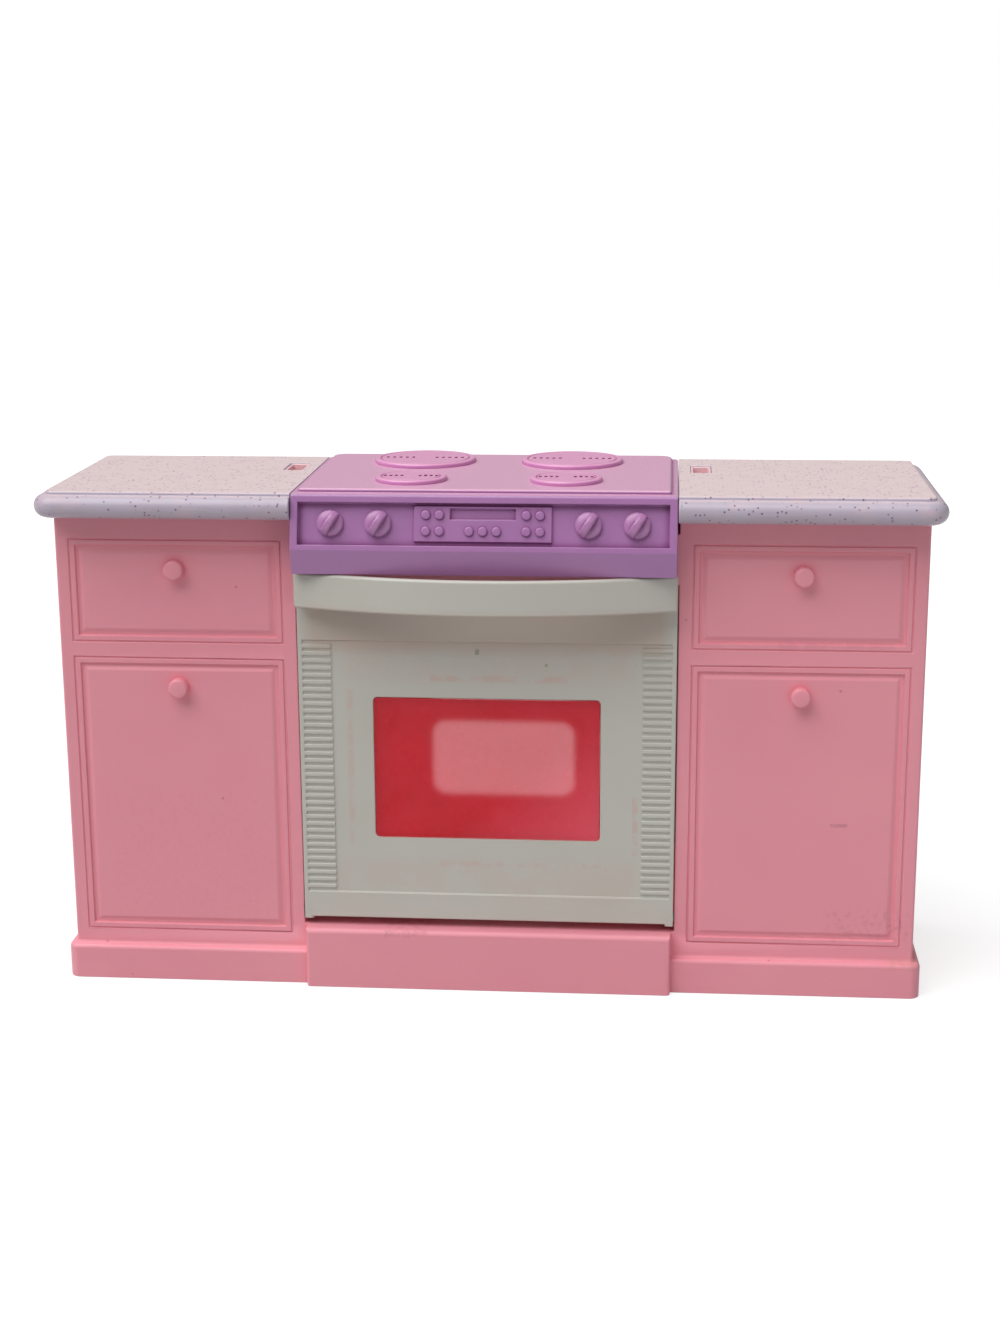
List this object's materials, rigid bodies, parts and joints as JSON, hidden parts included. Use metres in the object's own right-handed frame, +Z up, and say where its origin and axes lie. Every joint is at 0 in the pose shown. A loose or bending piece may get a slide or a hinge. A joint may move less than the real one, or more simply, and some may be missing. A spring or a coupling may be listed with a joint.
{
  "type": "toy stove",
  "caption": "Doll-size kitchen range between counter cabinets, with a hinged oven door, tinted window, bow handle, turning knobs and round burner plates.",
  "frame": {"origin": "on the table, under the middle of the whole unit's footprint", "axes": "+X to the right seen from the front, +Y from the front to the back, +Z up"},
  "size_m": [0.259, 0.0798, 0.1525],
  "materials": {
    "pink": "satin injection-moulded plastic, dusty pink",
    "speckled": "pale stone-look plastic with fine purple specks",
    "purple": "satin moulded plastic, orchid purple",
    "knob_purple": "satin moulded plastic, orchid purple",
    "light_purple": "satin moulded plastic, a paler pink purple",
    "white": "satin moulded plastic, off white with faint scuffs",
    "red_clear": "clear red tinted plastic"
  },
  "bodies": {
    "unit": {"cabinet_body": "pink", "worktop_left": "speckled", "worktop_right": "speckled", "range_top": "purple", "burner_back_left": "light_purple", "burner_back_right": "light_purple", "burner_front_left": "light_purple", "burner_front_right": "light_purple"},
    "door": {"oven_door": "white", "door_window": "red_clear"},
    "knob_1": {"control_knob_1": "knob_purple"},
    "knob_2": {"control_knob_2": "knob_purple"},
    "knob_3": {"control_knob_3": "knob_purple"},
    "knob_4": {"control_knob_4": "knob_purple"}
  },
  "joints": [
    {"name": "door_hinge", "type": "hinge", "parent": "unit", "child": "door", "pos_m": [0, -0.02215, 0.0225], "axis": [1, 0, 0], "range_deg": [0, 90]},
    {"name": "knob_1_turn", "type": "hinge", "parent": "unit", "child": "knob_1", "pos_m": [-0.0433, -0.03347, 0.14212], "axis": [0, -0.967, 0.2549], "continuous": true},
    {"name": "knob_2_turn", "type": "hinge", "parent": "unit", "child": "knob_2", "pos_m": [-0.0297, -0.03347, 0.14212], "axis": [0, -0.967, 0.2549], "continuous": true},
    {"name": "knob_3_turn", "type": "hinge", "parent": "unit", "child": "knob_3", "pos_m": [0.0297, -0.03347, 0.14212], "axis": [0, -0.967, 0.2549], "continuous": true},
    {"name": "knob_4_turn", "type": "hinge", "parent": "unit", "child": "knob_4", "pos_m": [0.0433, -0.03347, 0.14212], "axis": [0, -0.967, 0.2549], "continuous": true}
  ]
}
